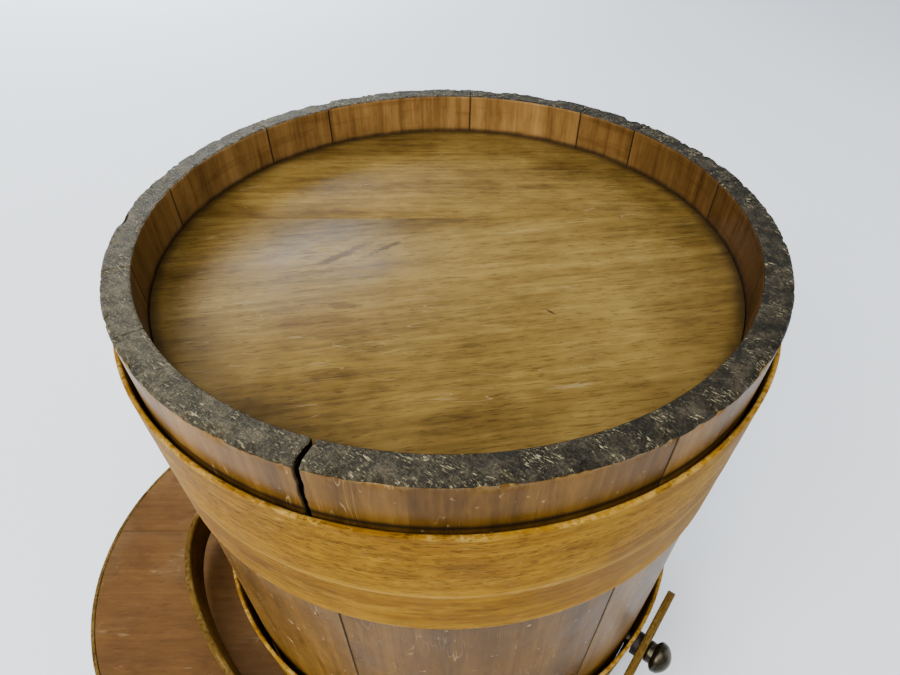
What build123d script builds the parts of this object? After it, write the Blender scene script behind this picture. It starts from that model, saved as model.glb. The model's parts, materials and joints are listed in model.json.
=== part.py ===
"""Stave-built butter churn, stood upside down on its lid to drain.

The tapered barrel stands on its open mouth, with the bottom head at the top. The lid lies under
it, off centre, and the bentwood bail hangs down on two round-headed pins until it rests on the lid.
Z = 0 is the surface under the lid; X is along the bail's pins, and the bail lies towards -Y.
The origin is under the middle of the whole outline.
"""
from build123d import *
from math import asin, atan2, cos, hypot, radians, sin
import os

# ---- driving dimensions, mm ----
CHIME_RADIUS = 150.0          # outside of the barrel at the chime, its bottom end
MOUTH_RADIUS = 139.0          # outside of the barrel at the mouth
BARREL_HEIGHT = 291.0
STAVE_THICKNESS = 12.0
STAVE_WIDTHS = (47, 43, 30, 28, 15, 29, 37, 17, 32, 27, 18, 37)   # degrees round the barrel
FIRST_JOINT = -70.4           # degrees, where the first stave starts
JOINT_GAP = 0.08              # degrees between two staves
CRACK_WIDTH = 0.75            # degrees that the dried-out first joint stands open at the chime
CRACK_DEPTH = 88.0            # how far below the chime it closes
CHIME_ROUNDING = 1.6
INNER_EASE = 0.8              # corner of the chime's inside

HEAD_RECESS = 22.3            # chime end to the head's outside face
HEAD_THICKNESS = 14.0
TONGUE_THICKNESS = 8.0        # the head's bevelled rim, held in the croze groove
CROZE_DEPTH = 4.0
HEAD_CLEARANCE = 0.4          # head's outside face to the staves
TONGUE_CLEARANCE = 0.2        # tongue to the bottom of the groove
HEAD_BEVEL = 3.0              # across the head's inside rim, down to the tongue
HEAD_JOINT_OFFSET = 31.5      # from the barrel's axis to the joint between the head's boards
GRAIN_ANGLE = 37.6            # degrees, the way the boards of head and lid run

BOTTOM_HOOP_START = 24.5      # below the chime
BOTTOM_HOOP_WIDTH = 75.0
BOTTOM_HOOP_STANDOFF = 1.5    # gap between the dried staves and the hoop's edge nearer the chime
TOP_HOOP_START = 225.0
TOP_HOOP_WIDTH = 56.0
TOP_HOOP_STANDOFF = 3.2
HOOP_THICKNESS = 2.4
LAP_ANGLE = 24.0
LAP_START = 100.0             # degrees, both laps are at the back
LAP_THICKNESS = 2.2
LAP_SEAT = 0.6                # how far the lap's inside face is sunk in the hoop

LID_RADIUS = 159.0
LID_HEIGHT = 35.0
LID_BAND_THICKNESS = 3.0
LID_BOARD_THICKNESS = 12.0
LID_JOINTS = (-104.0, 19.0)   # from the lid's centre, across the grain
LID_JOINT_GAP = 0.2
LID_BAND_GAP = 0.3
LID_SHIFT = 99.2              # lid's centre from the barrel's axis
LID_SHIFT_ANGLE = -139.2
DASHER_HOLE_RADIUS = 16.0

PIN_BELOW_CHIME = 252.0
PIN_RADIUS = 4.0
PIN_CLEARANCE = 0.05
PIN_COLLAR_RADIUS = 6.8
PIN_COLLAR_LENGTH = 4.0
PIN_HEAD_RADIUS = 9.6
PIN_HEAD_LENGTH = 10.8
PIN_HEAD_BASE = 3.6           # collar to the widest part of the head
PIN_HEAD_EASE = 1.6           # corner of the head's underside
RIVET_RADIUS = 5.0
RIVET_LENGTH = 2.0
ROVE_RADIUS = 8.0
ROVE_THICKNESS = 1.6
ROVE_SEAT = 0.8               # clear of the hollow side of the stave
SPACER_RADIUS = 7.5

BAIL_HALF_WIDTH = 149.2       # inside, at the pins
BAIL_STRIP_THICKNESS = 4.6
BAIL_STRIP_WIDTH = 26.0
BAIL_ARM_LENGTH = 92.6        # pin to the start of the bow
BAIL_BOW_HEIGHT = 72.0
BAIL_TAIL = 40.0              # past the pin, to the rounded tip
BAIL_REST_GAP = 0.3           # over the lid
SIDE_GAP = 0.2                # between the bail's arm and what it turns against

TACK_HEAD_RADIUS = 3.0
TACK_HEAD_HEIGHT = 0.8
TACK_SHANK_RADIUS = 0.9
LID_TACK_COUNT = 8

# ---- worked out ----
MOUTH_Z = LID_HEIGHT
CHIME_Z = MOUTH_Z + BARREL_HEIGHT
TAPER = (CHIME_RADIUS - MOUTH_RADIUS) / BARREL_HEIGHT
PIN_Z = CHIME_Z - PIN_BELOW_CHIME
PIN_COLLAR = BAIL_HALF_WIDTH + BAIL_STRIP_THICKNESS + SIDE_GAP
PIN_HEAD = PIN_COLLAR + PIN_COLLAR_LENGTH
PIN_TIP = PIN_HEAD + PIN_HEAD_LENGTH


def barrel_outside(z):
    """Outside radius of the staves at height z."""
    return CHIME_RADIUS - (CHIME_Z - z) * TAPER


HOOP_OUTSIDE = barrel_outside(CHIME_Z - BOTTOM_HOOP_START) + BOTTOM_HOOP_STANDOFF + HOOP_THICKNESS
LID_DX = LID_SHIFT * cos(radians(LID_SHIFT_ANGLE))
LID_DY = LID_SHIFT * sin(radians(LID_SHIFT_ANGLE))
# The barrel's axis is set so that the whole outline is centred on the origin.
BARREL_X = (LID_RADIUS - LID_DX - PIN_TIP) / 2
BARREL_Y = (LID_RADIUS - LID_DY - HOOP_OUTSIDE) / 2
LID_X = BARREL_X + LID_DX
LID_Y = BARREL_Y + LID_DY

BARREL_AXIS = Axis((BARREL_X, BARREL_Y, 0), (0, 0, 1))

HEAD_TOP = CHIME_Z - HEAD_RECESS
HEAD_BOTTOM = HEAD_TOP - HEAD_THICKNESS
TONGUE_TOP = HEAD_TOP - (HEAD_THICKNESS - TONGUE_THICKNESS) / 2
TONGUE_BOTTOM = TONGUE_TOP - TONGUE_THICKNESS
HEAD_RADIUS = barrel_outside(HEAD_TOP) - STAVE_THICKNESS - HEAD_CLEARANCE
CROZE_RADIUS = barrel_outside(TONGUE_BOTTOM) - STAVE_THICKNESS + CROZE_DEPTH

# The bail hangs until the bow's outside edge meets the lid.
BAIL_REACH = BAIL_ARM_LENGTH + BAIL_BOW_HEIGHT + BAIL_STRIP_THICKNESS
PIN_OVER_LID = PIN_Z - LID_HEIGHT - BAIL_REST_GAP
BAIL_DROOP = asin(PIN_OVER_LID / hypot(BAIL_REACH, BAIL_STRIP_WIDTH / 2))
BAIL_DROOP -= atan2(BAIL_STRIP_WIDTH / 2, BAIL_REACH)

os.makedirs("parts", exist_ok=True)


def save(part, name):
    """Label one finished piece and write it."""
    part.label = name
    export_step(part, f"parts/{name}.step")


def upright_plane(x, y, angle):
    """Vertical plane through (x, y): its X runs outwards at the angle, its Y is up."""
    turn = radians(angle)
    return Plane(origin=(x, y, 0), x_dir=(cos(turn), sin(turn), 0), z_dir=(sin(turn), -cos(turn), 0))


def barrel_plane(angle):
    return upright_plane(BARREL_X, BARREL_Y, angle)


def radial_plane(x, y, radius, angle, z):
    """Plane facing outwards at a place on a cylinder, for tacks."""
    turn = radians(angle)
    out = (cos(turn), sin(turn), 0)
    place = (x + radius * out[0], y + radius * out[1], z)
    return Plane(origin=place, x_dir=(-out[1], out[0], 0), z_dir=out)


# ---- staves: one tapered board each, rounded at the chime, grooved for the head ----
def stave_profile():
    """Corners of a stave's section, radius and height, from the mouth's outside round."""
    inside_chime = CHIME_RADIUS - STAVE_THICKNESS
    inside_top = barrel_outside(TONGUE_TOP) - STAVE_THICKNESS
    inside_bottom = barrel_outside(TONGUE_BOTTOM) - STAVE_THICKNESS
    return (
        (MOUTH_RADIUS, MOUTH_Z),
        (barrel_outside(CHIME_Z - CHIME_ROUNDING), CHIME_Z - CHIME_ROUNDING),
        (CHIME_RADIUS - CHIME_ROUNDING, CHIME_Z),
        (inside_chime + INNER_EASE, CHIME_Z),
        (inside_chime - INNER_EASE * TAPER, CHIME_Z - INNER_EASE),
        (inside_top, TONGUE_TOP),
        (CROZE_RADIUS, TONGUE_TOP),
        (CROZE_RADIUS, TONGUE_BOTTOM),
        (inside_bottom, TONGUE_BOTTOM),
        (MOUTH_RADIUS - STAVE_THICKNESS, MOUTH_Z),
    )


joint_angle = FIRST_JOINT
for number, width in enumerate(STAVE_WIDTHS, start=1):
    with BuildPart() as stave:
        with BuildSketch(barrel_plane(joint_angle + JOINT_GAP / 2)):
            with BuildLine():
                Polyline(*stave_profile(), close=True)
            make_face()
        revolve(axis=BARREL_AXIS, revolution_arc=width - JOINT_GAP)
        if number == 1:
            # A thin wedge off this stave's edge leaves the dried-out joint open at the chime.
            opening = CHIME_RADIUS * radians(CRACK_WIDTH)
            inside = CHIME_RADIUS - 2 * STAVE_THICKNESS
            with BuildSketch(radial_plane(BARREL_X, BARREL_Y, inside, FIRST_JOINT, CHIME_Z)):
                with BuildLine():
                    Polyline((-opening, 1), (opening, 1), (0, -CRACK_DEPTH), (-opening, -CRACK_DEPTH),
                             close=True)
                make_face()
            extrude(amount=3 * STAVE_THICKNESS, mode=Mode.SUBTRACT)
        for pin_angle in (0.0, 180.0):
            if joint_angle < pin_angle < joint_angle + width:
                with BuildSketch(radial_plane(BARREL_X, BARREL_Y, 0.0, pin_angle, PIN_Z)):
                    Circle(PIN_RADIUS)
                extrude(amount=PIN_TIP, mode=Mode.SUBTRACT)
    save(stave.part, f"stave_{number:02d}")
    joint_angle += width


# ---- bottom head: two boards, their bevelled rim held in the croze ----
def grain_plane(x, y, sideways):
    """Upright plane along the grain, moved sideways from (x, y)."""
    turn = radians(GRAIN_ANGLE)
    across = (-sin(turn), cos(turn), 0)
    place = (x + sideways * across[0], y + sideways * across[1], 0)
    return Plane(origin=place, x_dir=(cos(turn), sin(turn), 0), z_dir=across)


def head_profile():
    """Half section of the whole head."""
    tongue_end = CROZE_RADIUS - TONGUE_CLEARANCE
    bevel_end = HEAD_RADIUS - HEAD_CLEARANCE
    with BuildSketch(barrel_plane(0)) as profile:
        with BuildLine():
            Polyline((0, HEAD_BOTTOM), (bevel_end - HEAD_BEVEL, HEAD_BOTTOM), (bevel_end, TONGUE_BOTTOM),
                     (tongue_end, TONGUE_BOTTOM), (tongue_end, TONGUE_TOP), (HEAD_RADIUS, TONGUE_TOP),
                     (HEAD_RADIUS, HEAD_TOP), (0, HEAD_TOP), close=True)
        make_face()
    return profile.sketch


for number, side in ((1, Keep.TOP), (2, Keep.BOTTOM)):
    with BuildPart() as head_board:
        revolve(head_profile(), axis=BARREL_AXIS)
        split(bisect_by=grain_plane(BARREL_X, BARREL_Y, HEAD_JOINT_OFFSET), keep=side)
    save(head_board.part, f"head_board_{number}")


# ---- hoops: bent wood, lapped and tacked at the back ----
def hoop_profile(start, width, standoff, angle, skin, thickness):
    """Section of a hoop at an angle; it starts skin outside its own inside face."""
    top = CHIME_Z - start
    bottom = top - width
    loose, tight = barrel_outside(top) + standoff, barrel_outside(bottom)
    with BuildSketch(barrel_plane(angle)) as profile:
        with BuildLine():
            Polyline((loose + skin, top), (loose + thickness, top), (tight + thickness, bottom),
                     (tight + skin, bottom), close=True)
        make_face()
    return profile.sketch


def tack_discs(x, y, places, radius):
    """Discs facing outwards at the tacks' places; a place is radius, angle and height."""
    for place_radius, angle, z in places:
        with BuildSketch(radial_plane(x, y, place_radius, angle, z)) as disc:
            Circle(radius)
        yield disc.sketch


def lap_tack_places(start, width, standoff):
    """Two rows of tacks near the ends of a hoop's lap."""
    places = []
    for share in (0.2, 0.5, 0.8):
        z = CHIME_Z - start - share * width
        radius = barrel_outside(z) + (1 - share) * standoff + HOOP_THICKNESS + LAP_THICKNESS
        for angle in (LAP_START + 4, LAP_START + LAP_ANGLE - 4):
            places.append((radius, angle, z))
    return places


hoops = (("bottom_hoop", BOTTOM_HOOP_START, BOTTOM_HOOP_WIDTH, BOTTOM_HOOP_STANDOFF),
         ("top_hoop", TOP_HOOP_START, TOP_HOOP_WIDTH, TOP_HOOP_STANDOFF))
for name, start, width, standoff in hoops:
    lap_thickness = HOOP_THICKNESS + LAP_THICKNESS
    with BuildPart() as hoop:
        revolve(hoop_profile(start, width, standoff, 0.0, 0.0, HOOP_THICKNESS), axis=BARREL_AXIS)
        revolve(hoop_profile(start, width, standoff, LAP_START, HOOP_THICKNESS - LAP_SEAT, lap_thickness),
                axis=BARREL_AXIS, revolution_arc=LAP_ANGLE)
        if name == "top_hoop":
            with BuildSketch(Plane.YZ):
                with Locations((BARREL_Y, PIN_Z)):
                    Circle(PIN_RADIUS)
            extrude(amount=2 * PIN_TIP, both=True, mode=Mode.SUBTRACT)
    save(hoop.part, name)
    places = lap_tack_places(start, width, standoff)
    with BuildPart() as tacks:
        for disc in tack_discs(BARREL_X, BARREL_Y, places, TACK_HEAD_RADIUS):
            extrude(disc, amount=TACK_HEAD_HEIGHT)
        for disc in tack_discs(BARREL_X, BARREL_Y, places, TACK_SHANK_RADIUS):
            extrude(disc, amount=-LAP_THICKNESS)
    save(tacks.part, name + "_tacks")


# ---- lid: three boards in a bentwood band, with a hole for the dasher's rod ----
for number in (1, 2, 3):
    with BuildPart() as lid_board:
        with BuildSketch(Plane.XY.offset(LID_HEIGHT - LID_BOARD_THICKNESS)):
            with Locations((LID_X, LID_Y)):
                Circle(LID_RADIUS - LID_BAND_THICKNESS - LID_BAND_GAP)
                if number == 2:
                    Circle(DASHER_HOLE_RADIUS, mode=Mode.SUBTRACT)
        extrude(amount=LID_BOARD_THICKNESS)
        if number < 3:
            joint = LID_JOINTS[number - 1] - LID_JOINT_GAP / 2
            split(bisect_by=grain_plane(LID_X, LID_Y, joint), keep=Keep.BOTTOM)
        if number > 1:
            joint = LID_JOINTS[number - 2] + LID_JOINT_GAP / 2
            split(bisect_by=grain_plane(LID_X, LID_Y, joint), keep=Keep.TOP)
    save(lid_board.part, f"lid_board_{number}")

with BuildPart() as lid_band:
    with BuildSketch(Plane.XY):
        with Locations((LID_X, LID_Y)):
            Circle(LID_RADIUS)
            Circle(LID_RADIUS - LID_BAND_THICKNESS, mode=Mode.SUBTRACT)
    extrude(amount=LID_HEIGHT)
save(lid_band.part, "lid_band")

tack_z = LID_HEIGHT - LID_BOARD_THICKNESS / 2
with BuildPart() as lid_tacks:
    places = [(LID_RADIUS, 360.0 * (n + 0.5) / LID_TACK_COUNT, tack_z) for n in range(LID_TACK_COUNT)]
    for disc in tack_discs(LID_X, LID_Y, places, TACK_HEAD_RADIUS):
        extrude(disc, amount=TACK_HEAD_HEIGHT)
    for disc in tack_discs(LID_X, LID_Y, places, TACK_SHANK_RADIUS):
        extrude(disc, amount=-LID_BAND_THICKNESS)
save(lid_tacks.part, "lid_band_tacks")

# ---- bail: a flat strip bent to a bow, with straight round-ended arms past the pins ----
strip_normal = (0, sin(BAIL_DROOP), -cos(BAIL_DROOP))
bail_plane = Plane(origin=(BARREL_X, BARREL_Y, PIN_Z), x_dir=(1, 0, 0), z_dir=strip_normal)
with BuildPart() as bail:
    with BuildSketch(bail_plane):
        for spread in (BAIL_STRIP_THICKNESS, 0.0):
            half = BAIL_HALF_WIDTH + spread
            height = BAIL_BOW_HEIGHT + spread
            mode = Mode.ADD if spread else Mode.SUBTRACT
            with Locations((0, BAIL_ARM_LENGTH)):
                Ellipse(half, height, mode=mode)
            with Locations((0, (BAIL_ARM_LENGTH - BAIL_TAIL) / 2)):
                Rectangle(2 * half, BAIL_ARM_LENGTH + BAIL_TAIL, mode=mode)
    extrude(amount=BAIL_STRIP_WIDTH / 2, both=True)
    fillet(bail.edges().filter_by(Axis.X), radius=BAIL_STRIP_WIDTH / 2 - 0.1)
    with BuildSketch(Plane.YZ):
        with Locations((BARREL_Y, PIN_Z)):
            Circle(PIN_RADIUS + PIN_CLEARANCE)
    extrude(amount=2 * PIN_TIP, both=True, mode=Mode.SUBTRACT)
save(bail.part, "bail")

# ---- bail pins: turned, with a collar and a round head outside and riveted over a rove inside ----
STAVE_INSIDE = barrel_outside(PIN_Z) - STAVE_THICKNESS
ROVE_FACE = STAVE_INSIDE * cos(asin(ROVE_RADIUS / STAVE_INSIDE)) - ROVE_SEAT
RIVET = ROVE_FACE - ROVE_THICKNESS
HEAD_WIDEST = PIN_HEAD + PIN_HEAD_BASE
DOME_HEIGHT = PIN_TIP - HEAD_WIDEST
DOME_RADIUS = (DOME_HEIGHT ** 2 + PIN_HEAD_RADIUS ** 2) / (2 * DOME_HEIGHT)
half_dome = asin(PIN_HEAD_RADIUS / DOME_RADIUS) / 2
dome_middle = (PIN_TIP - DOME_RADIUS * (1 - cos(half_dome)), DOME_RADIUS * sin(half_dome))
hoop_bulge = TOP_HOOP_STANDOFF * (1 - (PIN_BELOW_CHIME - SPACER_RADIUS - TOP_HOOP_START) / TOP_HOOP_WIDTH)
HOOP_FACE = barrel_outside(PIN_Z + SPACER_RADIUS) + hoop_bulge + HOOP_THICKNESS
for side, angle in (("right", 0.0), ("left", 180.0)):
    facing = radial_plane(BARREL_X, BARREL_Y, 0.0, angle, PIN_Z)
    along = Plane(origin=facing.origin, x_dir=facing.z_dir, z_dir=facing.x_dir)
    pin_axis = Axis(facing.origin, facing.z_dir)
    with BuildPart() as pin:
        with BuildSketch(along):
            with BuildLine():
                Polyline((RIVET - RIVET_LENGTH, 0), (RIVET - RIVET_LENGTH, PIN_RADIUS - PIN_HEAD_EASE),
                         (RIVET - RIVET_LENGTH / 2, RIVET_RADIUS), (RIVET, RIVET_RADIUS), (RIVET, PIN_RADIUS),
                         (PIN_COLLAR, PIN_RADIUS), (PIN_COLLAR, PIN_COLLAR_RADIUS),
                         (PIN_HEAD, PIN_COLLAR_RADIUS), (PIN_HEAD, PIN_HEAD_RADIUS - PIN_HEAD_EASE),
                         (PIN_HEAD + PIN_HEAD_EASE, PIN_HEAD_RADIUS), (HEAD_WIDEST, PIN_HEAD_RADIUS))
                ThreePointArc((HEAD_WIDEST, PIN_HEAD_RADIUS), dome_middle, (PIN_TIP, 0))
                Line((PIN_TIP, 0), (RIVET - RIVET_LENGTH, 0))
            make_face()
        revolve(axis=pin_axis)
    save(pin.part, f"bail_pin_{side}")

    rings = (("pin_rove", RIVET, ROVE_FACE, ROVE_RADIUS),
             ("pin_spacer", HOOP_FACE, BAIL_HALF_WIDTH - SIDE_GAP, SPACER_RADIUS))
    for name, inner_face, outer_face, radius in rings:
        with BuildPart() as ring:
            with BuildSketch(facing.offset(inner_face)):
                Circle(radius)
                Circle(PIN_RADIUS, mode=Mode.SUBTRACT)
            extrude(amount=outer_face - inner_face)
        save(ring.part, f"{name}_{side}")
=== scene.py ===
"""Looks of a stave-built butter churn that stands upside down on its lid."""
import json
import math

import bpy
import numpy as np
from mathutils import Matrix, Vector


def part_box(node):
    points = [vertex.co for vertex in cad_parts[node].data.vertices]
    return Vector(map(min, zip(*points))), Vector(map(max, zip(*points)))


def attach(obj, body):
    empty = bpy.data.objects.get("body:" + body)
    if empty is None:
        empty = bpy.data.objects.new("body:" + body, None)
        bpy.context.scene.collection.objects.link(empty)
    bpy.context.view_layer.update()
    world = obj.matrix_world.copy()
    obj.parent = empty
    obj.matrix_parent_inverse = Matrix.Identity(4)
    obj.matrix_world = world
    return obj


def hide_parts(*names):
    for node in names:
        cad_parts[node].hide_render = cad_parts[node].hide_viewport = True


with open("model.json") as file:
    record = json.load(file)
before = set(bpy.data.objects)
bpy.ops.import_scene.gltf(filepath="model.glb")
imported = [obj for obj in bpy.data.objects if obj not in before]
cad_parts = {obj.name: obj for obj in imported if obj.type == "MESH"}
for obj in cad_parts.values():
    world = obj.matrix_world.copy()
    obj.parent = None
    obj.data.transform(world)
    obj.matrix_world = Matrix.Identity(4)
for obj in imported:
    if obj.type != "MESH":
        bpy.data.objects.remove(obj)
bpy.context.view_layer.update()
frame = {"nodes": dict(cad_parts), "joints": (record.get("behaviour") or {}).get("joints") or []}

MM = 0.001

# ---- places and sizes, metres ----
swing = next(j for j in frame["joints"] if j["name"] == "bail_swing")
PIN = Vector(swing["pos_m"])
BARREL = Vector((PIN.x, PIN.y, 0))
MOUTH_Z, CHIME_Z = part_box("stave_01")[0].z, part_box("stave_01")[1].z
CHIME_RADIUS = 150.0 * MM
MOUTH_RADIUS = 139.0 * MM
STAVE_THICKNESS = 12.0 * MM
STAVE_WIDTHS = (47, 43, 30, 28, 15, 29, 37, 17, 32, 27, 18, 37)     # degrees
FIRST_JOINT = -70.4
CRACK_DEPTH = 88.0 * MM
CRACK_DEGREES = 0.75
# Each stave's tone is partly the board's own and partly painted sheen: stave 12, at the left front, is paler
# for the sheen there.
STAVE_TONES_AND_SHEEN = (0.38, 0.62, 0.55, 0.50, 0.48, 0.62, 0.60, 0.50, 0.52, 0.48, 0.56, 0.74)    # 0 dark, 1 pale
# Degrees round the barrel where the chime's end grain is greyest, and where the lining is palest; the lining's
# pale and dark sides are partly its varnish and partly painted light and shade.
GREY_SIDE, BRIGHT_SIDE = -150.0, 150.0                         # degrees round the barrel
BOTTOM_HOOP_START = 24.5 * MM
HEAD_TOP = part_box("head_board_1")[1].z
TAPER = (CHIME_RADIUS - MOUTH_RADIUS) / (CHIME_Z - MOUTH_Z)
HOOP_THICKNESS = 2.4 * MM
BOTTOM_HOOP_STANDOFF, TOP_HOOP_STANDOFF = 1.5 * MM, 3.2 * MM
LAP_START, LAP_ANGLE = 100.0, 24.0
GRAIN_ANGLE = math.radians(37.6)
band_low, band_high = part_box("lid_band")
LID = (band_low + band_high) / 2
LID_RADIUS = (band_high.x - band_low.x) / 2
LID_TOP = band_high.z
LID_BAND_THICKNESS = 3.0 * MM
BAIL_HALF_WIDTH = 149.2 * MM
BAIL_STRIP = 4.6 * MM
BAIL_WIDTH = 26.0 * MM
BAIL_ARM, BAIL_BOW, BAIL_TAIL = 92.6 * MM, 72.0 * MM, 40.0 * MM
BAIL_REST_GAP = 0.3 * MM


def barrel_outside(z):
    return CHIME_RADIUS - (CHIME_Z - z) * TAPER


# ---- smooth random fields for the meshes ----
def hash_grid(cells, seed):
    """A number from 0 to 1 for each whole-numbered cell."""
    h = (cells[..., 0].astype(np.uint64) * 73856093) ^ (cells[..., 1].astype(np.uint64) * 19349663)
    h = h ^ (cells[..., 2].astype(np.uint64) * 83492791) ^ np.uint64(seed * 2654435761)
    h = h & np.uint64(0xFFFFFFFF)
    h = (h ^ (h >> np.uint64(15))) * np.uint64(2246822519) & np.uint64(0xFFFFFFFF)
    h = (h ^ (h >> np.uint64(13))) * np.uint64(3266489917) & np.uint64(0xFFFFFFFF)
    return ((h ^ (h >> np.uint64(16))) & np.uint64(0xFFFFFF)) / float(0xFFFFFF)


def field(points, scale, seed=1, octaves=3):
    """Fractal value noise from -1 to 1; scale is cells to the metre, one number or three."""
    p = np.asarray(points, float) * np.asarray(scale, float) + 1000.0
    total, gain, weight = 0.0, 1.0, 0.0
    for octave in range(octaves):
        base = np.floor(p)
        f = p - base
        f = f * f * (3 - 2 * f)
        value = 0.0
        for corner in range(8):
            bits = np.array([corner & 1, corner >> 1 & 1, corner >> 2 & 1])
            w = np.prod(np.where(bits, f, 1 - f), axis=-1)
            value = value + w * hash_grid((base + bits).astype(np.int64), seed + octave)
        total = total + gain * (2 * value - 1)
        weight += gain
        gain *= 0.5
        p = p * 2.03
    return total / weight


def smooth(edge0, edge1, x):
    t = np.clip((np.asarray(x, float) - edge0) / (edge1 - edge0), 0, 1)
    return t * t * (3 - 2 * t)


# ---- meshes ----
def add_attribute(mesh, name, values):
    values = np.asarray(values, np.float32)
    kind = "FLOAT_VECTOR" if values.ndim == 2 else "FLOAT"
    layer = mesh.attributes.new(name, kind, "POINT")
    layer.data.foreach_set("vector" if values.ndim == 2 else "value", values.ravel())


def new_object(name, verts, faces, material, attributes):
    mesh = bpy.data.meshes.new(name)
    mesh.from_pydata([tuple(v) for v in verts], [], faces)
    mesh.validate()
    mesh.update()
    for key, values in attributes.items():
        add_attribute(mesh, key, values)
    mesh.polygons.foreach_set("use_smooth", [True] * len(mesh.polygons))
    mesh.materials.append(material)
    obj = bpy.data.objects.new(name, mesh)
    bpy.context.scene.collection.objects.link(obj)
    return obj


def strip_faces(stations, ring, closed):
    """Quads over stations x ring points; the ring is closed on itself."""
    faces = []
    last = stations if closed else stations - 1
    for i in range(last):
        a, b = i * ring, (i + 1) % stations * ring
        for j in range(ring):
            k = (j + 1) % ring
            faces.append((a + j, b + j, b + k, a + k))
    if not closed:
        faces.append(tuple(range(ring - 1, -1, -1)))
        faces.append(tuple((stations - 1) * ring + j for j in range(ring)))
    return faces


def turned(name, centre, angle, radius, height, material, attributes, closed=False):
    """A mesh from arrays of angle, radius and height, each [station, ring point]."""
    x = centre.x + radius * np.cos(angle)
    y = centre.y + radius * np.sin(angle)
    verts = np.stack([x, y, height], -1).reshape(-1, 3)
    flat = {k: v.reshape(-1, 3) if v.ndim == 3 else v.reshape(-1) for k, v in attributes.items()}
    # A ring that runs up the outside first needs its faces turned round.
    faces = [tuple(reversed(f)) for f in strip_faces(angle.shape[0], angle.shape[1], closed)]
    return new_object(name, verts, faces, material, flat)


def finish_piece(obj, body, slot, *nodes):
    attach(obj, body)
    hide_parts(*nodes)
    return obj


# ---- materials ----
class Nodes:
    """A short way to write a node material."""

    def __init__(self, name):
        self.material = bpy.data.materials.new(name)
        self.material.use_nodes = True
        self.tree = self.material.node_tree
        self.shader = self.tree.nodes["Principled BSDF"]

    def put(self, socket, value):
        if isinstance(value, bpy.types.NodeSocket):
            self.tree.links.new(value, socket)
        elif isinstance(value, (tuple, list)) and len(value) == 3 and socket.type == "RGBA":
            socket.default_value = (*value, 1)
        else:
            socket.default_value = value

    def node(self, kind, **inputs):
        node = self.tree.nodes.new(kind)
        for key, value in inputs.items():
            self.put(node.inputs[key.replace("_", " ")], value)
        return node

    def attribute(self, name, output="Fac"):
        node = self.tree.nodes.new("ShaderNodeAttribute")
        node.attribute_name = name
        return node.outputs[output]

    def coordinates(self):
        return self.tree.nodes.new("ShaderNodeTexCoord").outputs["Object"]

    def mapped(self, vector, scale=(1, 1, 1), turn=(0, 0, 0), move=(0, 0, 0)):
        return self.node("ShaderNodeMapping", Vector=vector, Location=move, Rotation=turn,
                         Scale=scale).outputs["Vector"]

    def noise(self, vector, scale, detail=3.0, roughness=0.55, distortion=0.0):
        return self.node("ShaderNodeTexNoise", Vector=vector, Scale=scale, Detail=detail,
                         Roughness=roughness, Distortion=distortion).outputs["Fac"]

    def cells(self, vector, scale, randomness=1.0):
        return self.node("ShaderNodeTexVoronoi", Vector=vector, Scale=scale,
                         Randomness=randomness).outputs["Distance"]

    def math(self, operation, a, b=0.0, clamp=False):
        node = self.tree.nodes.new("ShaderNodeMath")
        node.operation = operation
        node.use_clamp = clamp
        self.put(node.inputs[0], a)
        self.put(node.inputs[1], b)
        return node.outputs[0]

    def span(self, value, low, high, to_low=0.0, to_high=1.0):
        """value from low to high, mapped smoothly and clamped."""
        node = self.node("ShaderNodeMapRange", Value=value, From_Min=low, From_Max=high,
                         To_Min=to_low, To_Max=to_high)
        node.interpolation_type = "SMOOTHSTEP"
        return node.outputs["Result"]

    def ramp(self, value, *stops):
        node = self.node("ShaderNodeValToRGB", Fac=value)
        elements = node.color_ramp.elements
        while len(elements) < len(stops):
            elements.new(0.5)
        for element, (place, colour) in zip(elements, stops):
            element.position = place
            element.color = (*colour, 1)
        return node.outputs["Color"]

    def mix(self, factor, a, b, blend="MIX"):
        node = self.tree.nodes.new("ShaderNodeMix")
        node.data_type = "RGBA"
        node.blend_type = blend
        self.put(node.inputs[0], factor)
        self.put(node.inputs[6], a)
        self.put(node.inputs[7], b)
        return node.outputs[2]

    def bump(self, height, strength, distance, normal=None):
        node = self.node("ShaderNodeBump", Height=height, Strength=strength, Distance=distance)
        if normal is not None:
            self.put(node.inputs["Normal"], normal)
        return node.outputs["Normal"]

    def surface(self, **inputs):
        for key, value in inputs.items():
            self.put(self.shader.inputs[key.replace("_", " ")], value)
        return self.material


def wood_layers(n, grain, pale, middle, deep, fibre=(9, 330), figure=(2.4, 34), pores=0.5):
    """Colour and height of planed wood; grain's X runs along the fibres."""
    fibres = n.noise(n.mapped(grain, (fibre[0], fibre[1], fibre[1])), 1.0, 6.0, 0.66, 0.15)
    bands = n.noise(n.mapped(grain, (figure[0], figure[1], figure[1])), 1.0, 4.0, 0.55, 1.2)
    clouds = n.noise(grain, 16.0, 4.0, 0.6)
    mottle = n.noise(n.mapped(grain, (90, 240, 240)), 1.0, 3.0, 0.6)
    value = n.math("ADD", n.math("MULTIPLY", fibres, 0.26), n.math("MULTIPLY", bands, 0.32))
    value = n.math("ADD", value, n.math("MULTIPLY", clouds, 0.27))
    value = n.math("ADD", value, n.math("MULTIPLY", mottle, 0.15))
    colour = n.ramp(value, (0.37, deep), (0.5, middle), (0.63, pale))
    dash = n.noise(n.mapped(grain, (120, 1500, 1500)), 1.0, 2.0, 0.6)
    dash = n.span(dash, 0.56, 0.68)
    colour = n.mix(n.math("MULTIPLY", dash, pores), colour, n.mix(1.0, colour, (0.36, 0.30, 0.24), "MULTIPLY"))
    height = n.math("SUBTRACT", n.math("MULTIPLY", fibres, 0.7), n.math("MULTIPLY", dash, 0.4))
    return colour, height, clouds


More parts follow.
